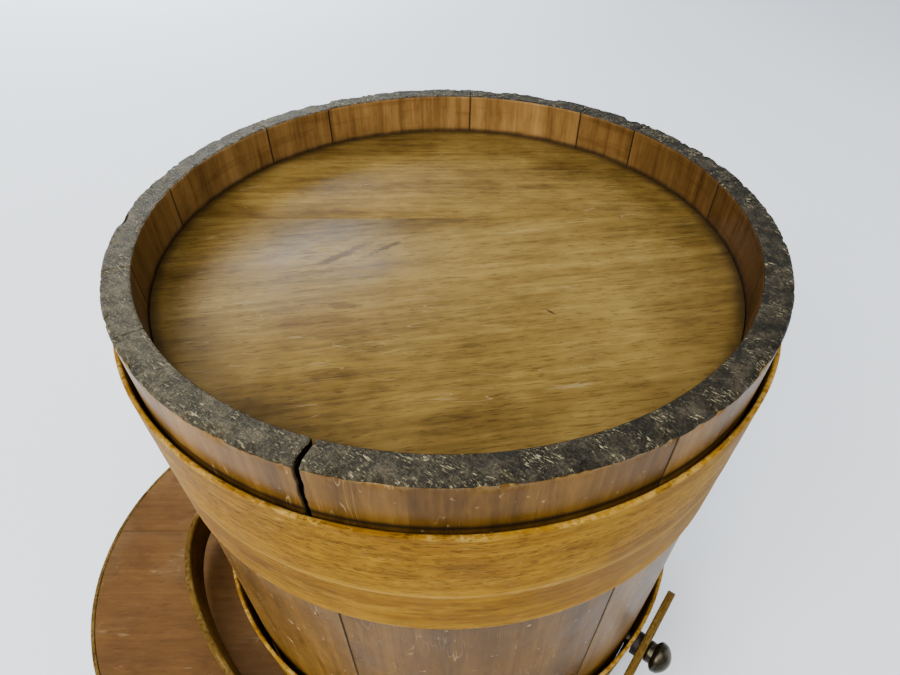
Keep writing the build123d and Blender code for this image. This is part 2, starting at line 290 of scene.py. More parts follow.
def scratches(n, vector, turn, scale, threshold, length=8.0):
    """Thin straight lines in one direction."""
    lines = n.noise(n.mapped(vector, (scale / length, scale, scale), (0, 0, turn)), 1.0, 0.0)
    cuts = n.noise(n.mapped(vector, (scale * 0.12,) * 3), 1.0, 2.0)
    band = n.math("ABSOLUTE", n.math("SUBTRACT", lines, 0.5))
    thin = n.span(band, threshold, 0.0)
    return n.math("MULTIPLY", thin, n.span(cuts, 0.55, 0.64))


def flecks(n, vector, turn, size, low, high):
    """Short fibres, torn and pale, that lie one way."""
    torn = n.noise(n.mapped(vector, (size, size * 3.6, size), (0, 0, turn)), 1.0, 2.0, 0.65)
    return n.span(torn, low, high)


def end_grain(n, place, grey_share):
    """Colour and height of the worn ends of the staves, greyer and more flecked towards one side."""
    coarse = n.noise(place, 150, 5.0, 0.72)
    fine = n.noise(place, 900, 3.0, 0.7)
    blend = n.math("ADD", n.math("MULTIPLY", coarse, 0.6), n.math("MULTIPLY", fine, 0.4))
    dark = n.ramp(blend, (0.36, (0.0045, 0.0038, 0.0028)), (0.50, (0.017, 0.0142, 0.0088)),
                  (0.64, (0.062, 0.050, 0.030)))
    grey = n.ramp(blend, (0.36, (0.015, 0.0122, 0.0072)), (0.50, (0.058, 0.049, 0.030)),
                  (0.64, (0.145, 0.122, 0.076)))
    base = n.mix(grey_share, dark, grey)
    torn = n.math("MAXIMUM", flecks(n, place, 0.5, 390, 0.59, 0.68), flecks(n, place, -0.9, 300, 0.595, 0.67))
    torn = n.math("MAXIMUM", torn, flecks(n, place, 1.7, 520, 0.60, 0.69))
    cluster = n.span(n.noise(place, 95, 5.0, 0.7), 0.46, 0.58)
    torn = n.math("MULTIPLY", torn, n.math("MAXIMUM", cluster, n.math("MULTIPLY", grey_share, 0.5)))
    colour = n.mix(n.math("MULTIPLY", torn, 0.9), base, (0.330, 0.285, 0.165))
    return colour, n.math("ADD", blend, n.math("MULTIPLY", torn, 0.25)), torn


def stave_material():
    n = Nodes("stave_wood")
    grain = n.attribute("grain", "Vector")
    end, inside = n.attribute("end"), n.attribute("inside")
    worn, tone_and_sheen, grey_share = n.attribute("worn"), n.attribute("tone_and_sheen"), n.attribute("grey_share")
    grime_and_shade, lining_tone_and_shade = n.attribute("grime_and_shade"), n.attribute("lining_tone_and_shade")
    place = n.coordinates()

    outside, height, clouds = wood_layers(n, grain, (0.185, 0.088, 0.0120), (0.105, 0.047, 0.0050),
                                          (0.040, 0.017, 0.0020), fibre=(10, 300), figure=(3.0, 40), pores=0.25)
    lining, lining_height, _ = wood_layers(n, grain, (0.300, 0.162, 0.046), (0.200, 0.100, 0.026),
                                           (0.075, 0.034, 0.0080), fibre=(9, 300), figure=(3, 70), pores=0.3)
    rings = n.noise(n.mapped(grain, (160, 14, 14)), 1.0, 3.0, 0.6)
    lining = n.mix(n.span(rings, 0.52, 0.66, 0.0, 0.35), lining, (0.085, 0.032, 0.007))
    # The lining is paler on one side and darker on the other: partly the varnish's own tone, partly painted
    # light and shade.
    varnish_and_shade = n.ramp(lining_tone_and_shade, (0.0, (0.16, 0.13, 0.12)), (0.7, (0.52, 0.50, 0.45)), (1.0, (1.0, 1.0, 1.0)))
    lining = n.mix(1.0, lining, varnish_and_shade, "MULTIPLY")
    wood = n.mix(inside, outside, lining)
    # Per-stave tone, partly the board's own and partly painted sheen.
    wood = n.mix(1.0, wood, n.ramp(tone_and_sheen, (0.0, (0.52, 0.50, 0.48)), (1.0, (1.45, 1.5, 1.55))), "MULTIPLY")

    # Varnish: a dark run here and there, scratched pale, and rubbed thin on the corners.
    runs = n.span(n.noise(n.mapped(grain, (7, 26, 26)), 1.0, 4.0, 0.6), 0.54, 0.70)
    wood = n.mix(n.math("MULTIPLY", runs, 0.45), wood, n.mix(1.0, wood, (0.36, 0.32, 0.28), "MULTIPLY"))
    marks = n.math("MAXIMUM", scratches(n, grain, 0.5, 420, 0.016), scratches(n, grain, -1.15, 360, 0.016))
    marks = n.math("MULTIPLY", marks, n.math("SUBTRACT", 1.0, inside))
    wood = n.mix(n.math("MULTIPLY", marks, 0.6), wood, (0.33, 0.22, 0.10))
    spots = n.span(n.noise(place, 210, 2.0, 0.5), 0.70, 0.76)
    spots = n.math("MULTIPLY", spots, n.math("SUBTRACT", 1.0, inside))
    wood = n.mix(n.math("MULTIPLY", spots, 0.7), wood, (0.36, 0.24, 0.12))
    rubbed = n.math("MULTIPLY", worn, n.span(n.noise(place, 420, 3.0, 0.65), 0.40, 0.58))
    wood = n.mix(n.math("MULTIPLY", rubbed, 0.85), wood, (0.300, 0.215, 0.085))
    # Grime and painted shade: dark in the groove over the hoop, in the corner by the head and along the joints.
    wood = n.mix(n.math("MULTIPLY", grime_and_shade, 0.93), wood, (0.0060, 0.0042, 0.0025))

    chime, chime_height, torn = end_grain(n, place, grey_share)
    colour = n.mix(end, wood, chime)
    rough_wood = n.span(clouds, 0.3, 0.7, 0.24, 0.40)
    rough = n.mix(end, n.mix(grime_and_shade, rough_wood, (0.7,) * 3), n.span(torn, 0.0, 1.0, 0.38, 0.75))
    bump = n.bump(n.mix(inside, height, lining_height), 0.22, 0.30 * MM)
    bump = n.bump(n.math("MULTIPLY", chime_height, end), 1.0, 2.2 * MM, bump)
    return n.surface(Base_Color=colour, Roughness=rough, Normal=bump, Specular_IOR_Level=0.07)


def hoop_material(name, pale, middle, deep, scuff=0.5, rub=0.8, ridge_highlight=0.0):
    n = Nodes(name)
    grain = n.attribute("grain", "Vector")
    worn, across = n.attribute("worn"), n.attribute("across")
    colour, height, clouds = wood_layers(n, grain, pale, middle, deep, fibre=(14, 380),
                                         figure=(3.0, 60), pores=0.55)
    # Short dark pores lie along the strip, thicker in its upper half.
    ticks = n.noise(n.mapped(grain, (210, 1100, 1100)), 1.0, 4.0, 0.7)
    ticks = n.span(ticks, 0.53, 0.62)
    ticks = n.math("MULTIPLY", ticks, n.span(across, 0.38, 0.60, 0.22, 1.0))
    dark = n.mix(1.0, colour, (0.30, 0.26, 0.22), "MULTIPLY")
    colour = n.mix(n.math("MULTIPLY", ticks, 0.75), colour, dark)
    smudges = n.span(n.noise(n.mapped(grain, (20, 55, 55)), 1.0, 5.0, 0.65), 0.50, 0.70)
    colour = n.mix(n.math("MULTIPLY", smudges, 0.5), colour, n.mix(1.0, colour, (0.50, 0.46, 0.42), "MULTIPLY"))
    light_patches = n.span(n.noise(n.mapped(grain, (26, 90, 90)), 1.0, 5.0, 0.7), 0.52, 0.68)
    colour = n.mix(n.math("MULTIPLY", light_patches, 0.45), colour, pale)
    pale_lines = scratches(n, grain, 0.03, 300, 0.020, 16.0)
    cross_lines = scratches(n, grain, 0.9, 380, 0.013, 6.0)
    marks = n.math("MAXIMUM", pale_lines, cross_lines)
    light = n.mix(0.5, pale, (0.44, 0.31, 0.09))
    # Painted highlight: a pale line along the strip where its ridge catches the light.
    ridge = n.span(n.math("ABSOLUTE", n.math("SUBTRACT", across, 0.42)), 0.016, 0.004)
    colour = n.mix(n.math("MULTIPLY", ridge, ridge_highlight), colour, light)
    colour = n.mix(n.math("MULTIPLY", marks, scuff), colour, light)
    # On the bottom hoop the worn attribute also carries a painted highlight along the ridge.
    rubbed = n.math("MULTIPLY", worn, n.span(n.noise(grain, 420, 3.0, 0.65), 0.40, 0.58))
    colour = n.mix(n.math("MULTIPLY", rubbed, rub), colour, light)
    rough = n.span(clouds, 0.3, 0.7, 0.42, 0.58)
    bump = n.bump(n.math("SUBTRACT", height, ticks), 0.42, 0.30 * MM)
    return n.surface(Base_Color=colour, Roughness=rough, Normal=bump, Specular_IOR_Level=0.03)


def stain(n, colour, place, spot, size, turn, depth):
    """One dark reddish mark on the head; spot and size in mm, across and along the view."""
    mark = n.tree.nodes.new("ShaderNodeMapping")
    mark.vector_type = "TEXTURE"
    n.put(mark.inputs["Vector"], place)
    at = BARREL + Matrix.Rotation(GRAIN_ANGLE, 3, "Z") @ Vector((*spot, 0)) * MM
    mark.inputs["Location"].default_value = (at.x, at.y, HEAD_TOP)
    mark.inputs["Rotation"].default_value = (0, 0, GRAIN_ANGLE + math.radians(turn))
    mark.inputs["Scale"].default_value = (size[0] * MM, size[1] * MM, 0.1)
    reach = n.tree.nodes.new("ShaderNodeVectorMath")
    reach.operation = "LENGTH"
    n.put(reach.inputs[0], mark.outputs["Vector"])
    blur = n.math("SUBTRACT", n.noise(place, 160, 4.0, 0.65), 0.5)
    edge = n.math("ADD", reach.outputs["Value"], n.math("MULTIPLY", blur, 2.6))
    return n.mix(n.math("MULTIPLY", n.span(edge, 1.25, 0.35), depth), colour, (0.030, 0.0125, 0.0055))


def stained(n, colour, place):
    """The few marks that stand out: two slanting streaks, three smudges and a short cut."""
    colour = stain(n, colour, place, (-50, 0), (16, 3), 40, 0.7)
    colour = stain(n, colour, place, (-30, 5), (12, 2), 40, 0.7)
    colour = stain(n, colour, place, (-80, 15), (12, 2), 0, 0.45)
    colour = stain(n, colour, place, (-45, -40), (8, 3), 0, 0.5)
    colour = stain(n, colour, place, (0, 30), (12, 3), 0, 0.3)
    return stain(n, colour, place, (45, -45), (3, 0.6), -45, 0.9)


def rim_distance(n, place):
    """Distance from the barrel's axis."""
    flat = n.mapped(place, (1, 1, 0), (0, 0, 0), (-BARREL.x, -BARREL.y, 0))
    reach = n.tree.nodes.new("ShaderNodeVectorMath")
    reach.operation = "LENGTH"
    n.put(reach.inputs[0], flat)
    return reach.outputs["Value"]


def head_material(name, turn, shift):
    """Varnished head board; turn is how far its grain strays from the board's length."""
    n = Nodes(name)
    place = n.coordinates()
    grain = n.mapped(place, turn=(0, 0, -GRAIN_ANGLE - math.radians(turn)), move=(shift, shift, 0))
    colour, height, clouds = wood_layers(n, grain, (0.225, 0.150, 0.039), (0.146, 0.090, 0.0200),
                                         (0.052, 0.029, 0.0062), fibre=(16, 300), figure=(4.0, 26), pores=0.6)
    stain = n.span(n.noise(n.mapped(grain, (12, 40, 14)), 1.0, 5.0, 0.65), 0.52, 0.72)
    colour = n.mix(n.math("MULTIPLY", stain, 0.60), colour, n.mix(1.0, colour, (0.46, 0.38, 0.30), "MULTIPLY"))
    patches = n.span(n.noise(place, 11, 4.0, 0.6), 0.42, 0.62)
    paler = n.mix(1.0, colour, (1.30, 1.25, 1.15), "MULTIPLY")
    colour = n.mix(n.math("MULTIPLY", patches, 0.30), colour, paler)
    fleck = n.noise(n.mapped(grain, (150, 800, 150)), 1.0, 3.0, 0.65)
    fleck = n.math("MULTIPLY", n.span(fleck, 0.58, 0.70), 0.55)
    colour = n.mix(fleck, colour, (0.050, 0.026, 0.0080))
    colour = stained(n, colour, place)
    marks = n.math("MAXIMUM", scratches(n, grain, 0.12, 300, 0.012, 14.0), scratches(n, grain, 1.1, 280, 0.010))
    marks = n.math("MAXIMUM", marks, scratches(n, grain, 0.6, 190, 0.008, 20.0))
    colour = n.mix(n.math("MULTIPLY", marks, 0.45), colour, (0.29, 0.21, 0.095))
    to_rim = n.math("SUBTRACT", HEAD_RADIUS, rim_distance(n, place))
    ragged = n.math("MULTIPLY", n.math("SUBTRACT", n.noise(place, 120, 3.0, 0.6), 0.5), 5 * MM)
    # Painted shade: the head darkens within about 45 mm of the rim, where the staves' walls shade it.
    rim_shade_reach = n.math("ADD", to_rim, n.math("MULTIPLY", n.math("SUBTRACT", clouds, 0.5), 60 * MM))
    darker = n.mix(1.0, colour, (0.45, 0.38, 0.30), "MULTIPLY")
    colour = n.mix(n.span(rim_shade_reach, 45 * MM, 0.0, 0.0, 0.55), colour, darker)
    # Painted shade: a dark ragged line in the corner where the head meets the staves.
    rim_corner_shade = n.span(n.math("ADD", to_rim, ragged), 7 * MM, 0.0)
    colour = n.mix(n.math("MULTIPLY", rim_corner_shade, 0.80), colour, (0.020, 0.0115, 0.0040))
    rough = n.span(clouds, 0.3, 0.7, 0.30, 0.48)
    return n.surface(Base_Color=colour, Roughness=rough, Normal=n.bump(height, 0.30, 0.25 * MM),
                     Specular_IOR_Level=0.05)


def lid_material():
    n = Nodes("lid_wood")
    grain = n.mapped(n.coordinates(), turn=(0, 0, -GRAIN_ANGLE))
    colour, height, clouds = wood_layers(n, grain, (0.135, 0.066, 0.0170), (0.098, 0.044, 0.0105),
                                         (0.062, 0.027, 0.0062), fibre=(16, 260), figure=(3.0, 22), pores=0.3)
    blotch = n.span(n.noise(n.mapped(grain, (30, 48, 30)), 1.0, 5.0, 0.65), 0.52, 0.70)
    colour = n.mix(n.math("MULTIPLY", blotch, 0.45), colour, n.mix(1.0, colour, (0.50, 0.46, 0.44), "MULTIPLY"))
    dust = n.span(n.noise(n.mapped(grain, (18, 18, 18)), 1.0, 5.0, 0.65), 0.50, 0.75)
    colour = n.mix(n.math("MULTIPLY", dust, 0.25), colour, (0.155, 0.100, 0.050))
    marks = scratches(n, grain, 0.8, 300, 0.012)
    colour = n.mix(n.math("MULTIPLY", marks, 0.30), colour, (0.26, 0.18, 0.09))
    return n.surface(Base_Color=colour, Roughness=n.span(clouds, 0.3, 0.7, 0.50, 0.66),
                     Normal=n.bump(height, 0.4, 0.25 * MM), Specular_IOR_Level=0.08)


def metal_material(name, dark, light, rough, shine=1.0):
    n = Nodes(name)
    place = n.coordinates()
    tarnish = n.noise(place, 240, 4.0, 0.6)
    fine = n.noise(place, 1400, 3.0, 0.6)
    colour = n.ramp(tarnish, (0.35, dark), (0.65, light))
    return n.surface(Base_Color=colour, Metallic=shine, Roughness=n.span(tarnish, 0.3, 0.7, *rough),
                     Normal=n.bump(n.math("ADD", tarnish, fine), 0.25, 0.3 * MM))


HEAD_RADIUS = barrel_outside(HEAD_TOP) - STAVE_THICKNESS
STAVE_WOOD = stave_material()
FAR_HEAD_WOOD = head_material("head_wood", 0, 0.0)
NEAR_HEAD_WOOD = head_material("head_wood_near", 9, 0.31)
HOOP_WOOD = hoop_material(
    "hoop_wood", (0.340, 0.178, 0.0080), (0.208, 0.095, 0.0022), (0.105, 0.041, 0.0010), ridge_highlight=0.4)
BAIL_WOOD = hoop_material(
    "bail_wood", (0.150, 0.084, 0.013), (0.085, 0.043, 0.0060), (0.038, 0.017, 0.0024), 0.3, 0.25)
BAND_WOOD = hoop_material(
    "lid_band_wood", (0.165, 0.098, 0.024), (0.105, 0.058, 0.012), (0.050, 0.024, 0.005), 0.3, 0.3)
LID_WOOD = lid_material()
PIN_METAL = metal_material("pin_metal", (0.020, 0.0165, 0.0095), (0.060, 0.050, 0.030), (0.26, 0.40), 0.9)
IRON = metal_material("iron_fittings", (0.012, 0.011, 0.010), (0.035, 0.030, 0.026), (0.40, 0.60), 0.8)


# ---- staves ----
def stave_section():
    """Points round a stave's section: depth from its outside face, height, and what each is on."""
    rounding = 1.8 * MM
    shoulder = CHIME_Z - 34 * MM
    points = [(0.0, z, "outside") for z in np.linspace(MOUTH_Z + 1.2 * MM, shoulder, 42)]
    points += [(0.0, z, "outside") for z in np.linspace(shoulder, CHIME_Z - rounding, 34)[1:]]
    for turn in np.radians((22.5, 45, 67.5)):
        points.append((rounding * (1 - math.cos(turn)), CHIME_Z - rounding * (1 - math.sin(turn)), "edge"))
    depths = np.linspace(rounding, STAVE_THICKNESS - 0.9 * MM, 14)
    points += [(d, CHIME_Z, "end") for d in depths]
    points.append((STAVE_THICKNESS - 0.3 * MM, CHIME_Z - 0.3 * MM, "edge"))
    tongue_top, tongue_bottom = HEAD_TOP - 3 * MM, HEAD_TOP - 11 * MM
    points += [(STAVE_THICKNESS, z, "inside") for z in np.linspace(CHIME_Z - 0.9 * MM, tongue_top, 20)]
    croze = STAVE_THICKNESS - 4 * MM
    points += [(croze, tongue_top, "inside"), (croze, tongue_bottom, "inside")]
    points += [(STAVE_THICKNESS, z, "inside") for z in np.linspace(tongue_bottom, MOUTH_Z + 1.2 * MM, 36)]
    points += [(d, MOUTH_Z, "inside") for d in np.linspace(STAVE_THICKNESS - 1.2 * MM, 1.2 * MM, 6)]
    return points


def stave_stations(start, width):
    """Angles across a stave, close together at its two edges."""
    corner = np.degrees(np.array([0, 0.12, 0.3, 0.55, 0.9]) * MM / CHIME_RADIUS)
    middle = np.linspace(corner[-1], width - corner[-1], max(8, int(width / 0.42)))[1:-1]
    return start + np.concatenate([corner, middle, width - corner[::-1]])


def crack_shift(height, depth, start_side):
    """Degrees that the first joint's two faces move apart and wander."""
    below = np.clip((CHIME_Z - height) / CRACK_DEPTH, 0, 1)
    opening = CRACK_DEGREES * (1 - below) ** 0.8
    wander_at = np.stack([depth * 1.6, height, np.zeros_like(depth)], -1)
    wander = field(wander_at, 190, 31) * 0.30 * (1 - below) + smooth(0.0, 9 * MM, depth) * 0.35 * (1 - below)
    return wander + (opening / 2 if start_side else -opening / 2)


def build_stave(number, start, width):
    section = stave_section()
    depth = np.array([p[0] for p in section])
    height = np.array([p[1] for p in section])
    kind = np.array([p[2] for p in section])
    gap = 0.05
    angles = stave_stations(start + gap / 2, width - gap)
    depth, height = np.broadcast_to(depth, (len(angles), len(section))), np.tile(height, (len(angles), 1))
    angle = np.repeat(angles[:, None], len(section), 1)

    if number == 1:
        fade = np.clip(1 - (angles - start) / 6.0, 0, 1)[:, None] ** 2
        angle = angle + fade * crack_shift(height, depth, True)
    if number == len(STAVE_WIDTHS):
        fade = np.clip(1 - (start + width - angles) / 6.0, 0, 1)[:, None] ** 2
        angle = angle + fade * crack_shift(height, depth, False)

    radius = barrel_outside(height) - depth
    turn = np.radians(angle)
    at = np.stack([radius * np.cos(turn), radius * np.sin(turn), height], -1)

    # Rounded corners where two staves meet.
    near = np.minimum(angles - angles[0], angles[-1] - angles) * math.pi / 180 * CHIME_RADIUS
    ease = 0.75 * MM
    drop = np.where(near < ease, ease - np.sqrt(np.maximum(ease ** 2 - (ease - near) ** 2, 0)), 0)[:, None]
    radius = radius - drop * (kind == "outside") + drop * 0.6 * (kind == "inside")
    height = height - drop * np.isin(kind, ("end", "edge")) * 0.8

    # The chime is pitted and chipped; chips are deepest on its outside edge.
    end = np.isin(kind, ("end", "edge")).astype(float)
    edge_distance = np.hypot(depth, np.maximum(CHIME_Z - height, 0))
    near_edge = 1 - smooth(0.5 * MM, 5.0 * MM, edge_distance)
    chips = np.maximum(smooth(0.10, 0.60, field(at, 95, 5, 4)), smooth(0.05, 0.55, field(at, 260, 6, 3)) * 0.6)
    chips = chips * near_edge
    pits = field(at, 420, 9, 3)
    waves = field(at, 60, 12, 2)
    height = height - end * (0.42 * MM * (pits + 0.5) + 0.35 * MM * (waves + 0.5)) - chips * 1.5 * MM * end
    radius = radius - chips * 1.3 * MM * (depth < 4 * MM)
    radius = radius - (kind == "outside") * 0.12 * MM * (1 + field(at, 22, 14, 2))
    height = np.minimum(height, CHIME_Z)

    near_top = 1 - smooth(0.4 * MM, 3.0 * MM, CHIME_Z - height)
    worn = near_top * (kind == "outside") * smooth(-0.25, 0.4, field(at, 70, 21)) + chips
    worn = np.clip(worn + (1 - smooth(0, 1.1 * MM, near))[:, None] * 0.35 * (kind == "outside"), 0, 1)
    offset = np.array([0.731 * number, 0.37 * number, 0.113 * number])
    grain = np.stack([height, turn * CHIME_RADIUS, -depth], -1) + offset
    # The chime's end grain is greyer on one side. Inside, the lining is darkest on the other side: partly a
    # darker varnish and partly painted shade.
    grey_share = smooth(-0.55, 0.95, np.cos(turn - math.radians(GREY_SIDE))) * 0.9
    away = 0.5 + 0.5 * np.cos(turn - math.radians(BRIGHT_SIDE))
    lining_tone_and_shade = np.clip(smooth(0.1, 0.95, away) + 0.12 * field(at, 30, 17), 0, 1)

    # Dark lines: grime and painted shade in the groove over the hoop, painted shade in the corner by the head,
    # and grime along the joints.
    ragged = 1 + 0.5 * field(at, 160, 23)
    groove = np.exp(-((height - (CHIME_Z - BOTTOM_HOOP_START - 0.4 * MM)) / (1.5 * MM * ragged)) ** 2)
    corner = np.exp(-((height - HEAD_TOP) / (1.5 * MM * ragged)) ** 2)
    seam = (1 - smooth(0.1 * MM, 0.9 * MM, near))[:, None] * 0.9
    grime_and_shade = np.where(kind == "outside", groove, np.where(kind == "inside", corner, 0))
    grime_and_shade = np.clip(np.maximum(grime_and_shade, seam), 0, 1)
    attributes = {
        "grain": grain, "end": end * smooth(-0.1, 0.1, 1 - chips * 0.6),
        "inside": (kind == "inside") * np.ones_like(radius), "worn": worn * np.ones_like(radius),
        "tone_and_sheen": np.full(radius.shape, STAVE_TONES_AND_SHEEN[number - 1]), "grey_share": grey_share, "lining_tone_and_shade": lining_tone_and_shade,
        "grime_and_shade": grime_and_shade * np.ones_like(radius),
    }
    name = f"stave_{number:02d}"
    stave = turned("board_" + name, BARREL, turn, radius, height, STAVE_WOOD, attributes)
    return finish_piece(stave, "barrel", "stave_wood", name)


joint = FIRST_JOINT
for number, width in enumerate(STAVE_WIDTHS, start=1):
    build_stave(number, joint, width)
    joint += width


# ---- hoops and the lid's band: bent strips whose ends lap ----
def strip_section(width, thickness, rounding, face_steps, back_steps=6):
    """Points round a strip's section: share of its thickness, place across it, and if outside."""
    edge = width / 2 - rounding
    points = [(1.0, y) for y in np.linspace(-edge, edge, face_steps)]
    share = rounding / thickness
    for turn in np.radians((30, 60)):
        points.append((1 - share + share * math.cos(turn), edge + rounding * math.sin(turn)))
    points += [(1 - share, width / 2), (share, width / 2)]
    for turn in np.radians((60, 30)):
        points.append((share - share * math.cos(turn), edge + rounding * math.sin(turn)))
    points += [(0.0, y) for y in np.linspace(edge, -edge, back_steps)]
    for turn in np.radians((30, 60)):
        points.append((share - share * math.cos(turn), -edge - rounding * math.sin(turn)))
    points += [(share, -width / 2), (1 - share, -width / 2)]
    for turn in np.radians((60, 30)):
        points.append((1 - share + share * math.cos(turn), -edge - rounding * math.sin(turn)))
    return np.array(points)


def bent_band(name, centre, base, low, high, thickness, start, lap, climb, material, seed,
              raised=True, ridge=0.0, gap=0.3 * MM, rounding=0.9 * MM, edge_wear=1.0):
    """A strip round a base(z) radius; its end lies on its start (raised) or is scarfed into it."""
    section = strip_section(high - low, thickness, rounding, int((high - low) / (1.4 * MM)))
    angles = np.linspace(0, 360 + lap, int((360 + lap) / 0.5))
    share = np.tile(section[:, 0], (len(angles), 1))
    across = np.tile(section[:, 1], (len(angles), 1))
    turn = np.repeat(np.radians(start + angles)[:, None], len(section), 1)
    height = (low + high) / 2 + across
    first = smooth(0, climb, angles) * 0.92 + 0.08
    last = 1 - smooth(360 + lap - 2.5, 360 + lap, angles) * 0.75
    if raised:
        lift = np.where(angles > 360 - climb, smooth(360 - climb, 360, angles) * 0.12, 0)
        lift = np.where(angles >= 360, 0.08 + smooth(0, climb, angles - 360) * 0.94, lift)
        thick = thickness * first * last
        inner = lift * thickness
    else:
        thick = np.where(angles < lap, np.maximum(angles / lap, 0.06), 1.0)
        thick = np.where(angles > 360, np.maximum(1 - (angles - 360) / lap, 0.06), thick) * thickness
        inner = np.where(angles > 360, thickness - thick, 0)
    thick, inner = thick[:, None], inner[:, None]
    round_at = np.stack([np.cos(turn), np.sin(turn), height * 4], -1)
    gaps = gap * (0.55 + 0.45 * field(round_at, 2.6, seed, 2))
    radius = base(height) + gaps + inner + share * (thick - gap)
    at = np.stack([radius * np.cos(turn), radius * np.sin(turn), height], -1)
    face = share > 0.9
    radius = radius - face * 0.10 * MM * (1 + field(at, (40, 40, 130), seed + 3, 3))
    if ridge:
        crease = np.exp(-((across - ridge) / (0.9 * MM)) ** 2)
        radius = radius + face * crease * 0.10 * MM - face * (across < ridge) * 0.12 * MM
    to_edge = (high - low) / 2 - np.abs(across)
    ragged = field(at, (110, 110, 20), seed + 5, 3)
    height = height - np.sign(across) * (1 - smooth(0, 4 * MM, to_edge)) * 0.30 * MM * (1 + ragged)
    worn = (1 - smooth(0.3 * MM, 2.2 * MM, to_edge)) * smooth(-0.5, 0.3, ragged) * edge_wear
    # A pale line along the ridge, broken here and there, is a painted highlight carried in the worn attribute.
    if ridge:
        ridge_highlight_breaks = smooth(-0.1, 0.4, field(at, 45, seed + 7))
        worn = worn + np.exp(-((across - ridge) / (0.5 * MM)) ** 2) * ridge_highlight_breaks * face
    grain = np.stack([turn * base(high), height, radius], -1) + 0.517 * seed
    shown = {"grain": grain, "worn": np.clip(worn, 0, 1), "across": across / (high - low) + 0.5}
    return turned(name, centre, turn, radius, height, material, shown)


def build_hoop(node, standoff, seed, ridge):
    """A hoop that stands off the staves at its edge nearer the chime."""
    low, high = (corner.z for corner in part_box(node))

    def base(z):
        return barrel_outside(z) + standoff * (z - low) / (high - low)

    hoop = bent_band("bent_" + node, BARREL, base, low, high, HOOP_THICKNESS, LAP_START, LAP_ANGLE, 8,
                     HOOP_WOOD, seed, ridge=ridge, gap=0.2 * MM)
    finish_piece(hoop, "barrel", "hoop_wood", node)


build_hoop("bottom_hoop", BOTTOM_HOOP_STANDOFF, 3, -7.0 * MM)
build_hoop("top_hoop", TOP_HOOP_STANDOFF, 4, 0.0)
lid_band = bent_band("bent_lid_band", LID, lambda z: LID_RADIUS - LID_BAND_THICKNESS + 0 * z, 0.0, LID_TOP,
                     LID_BAND_THICKNESS, 60.0, 16.0, 8, BAND_WOOD, 6, raised=False, gap=0.25 * MM)
finish_piece(lid_band, "lid", "lid_band_wood", "lid_band")


# ---- flat boards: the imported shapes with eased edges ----
def eased_board(node, body, slot, material, width):
    """A copy of a packed board with its long edges rounded over."""
    mesh = frame["nodes"][node].data.copy()
    mesh.materials.clear()
    mesh.materials.append(material)
    board = bpy.data.objects.new("eased_" + node, mesh)
    bpy.context.scene.collection.objects.link(board)
    weld = board.modifiers.new("weld", "WELD")
    weld.merge_threshold = 0.01 * MM
    bevel = board.modifiers.new("bevel", "BEVEL")
    bevel.width = width
    bevel.segments = 3
    bevel.limit_method = "ANGLE"
    bevel.angle_limit = math.radians(35)
    bevel.harden_normals = True
    mesh.polygons.foreach_set("use_smooth", [True] * len(mesh.polygons))
    return finish_piece(board, body, slot, node)


eased_board("head_board_1", "barrel", "head_wood", FAR_HEAD_WOOD, 0.35 * MM)
eased_board("head_board_2", "barrel", "head_wood", NEAR_HEAD_WOOD, 0.35 * MM)
for node in ("lid_board_1", "lid_board_2", "lid_board_3"):
    eased_board(node, "lid", "lid_wood", LID_WOOD, 0.5 * MM)


# ---- bail ----
def bail_droop():
    """Angle that the resting bail makes with the horizontal."""
    reach = BAIL_ARM + BAIL_BOW + BAIL_STRIP
    over = PIN.z - LID_TOP - BAIL_REST_GAP
    half = BAIL_WIDTH / 2
    return math.asin(over / math.hypot(reach, half)) - math.atan2(half, reach)


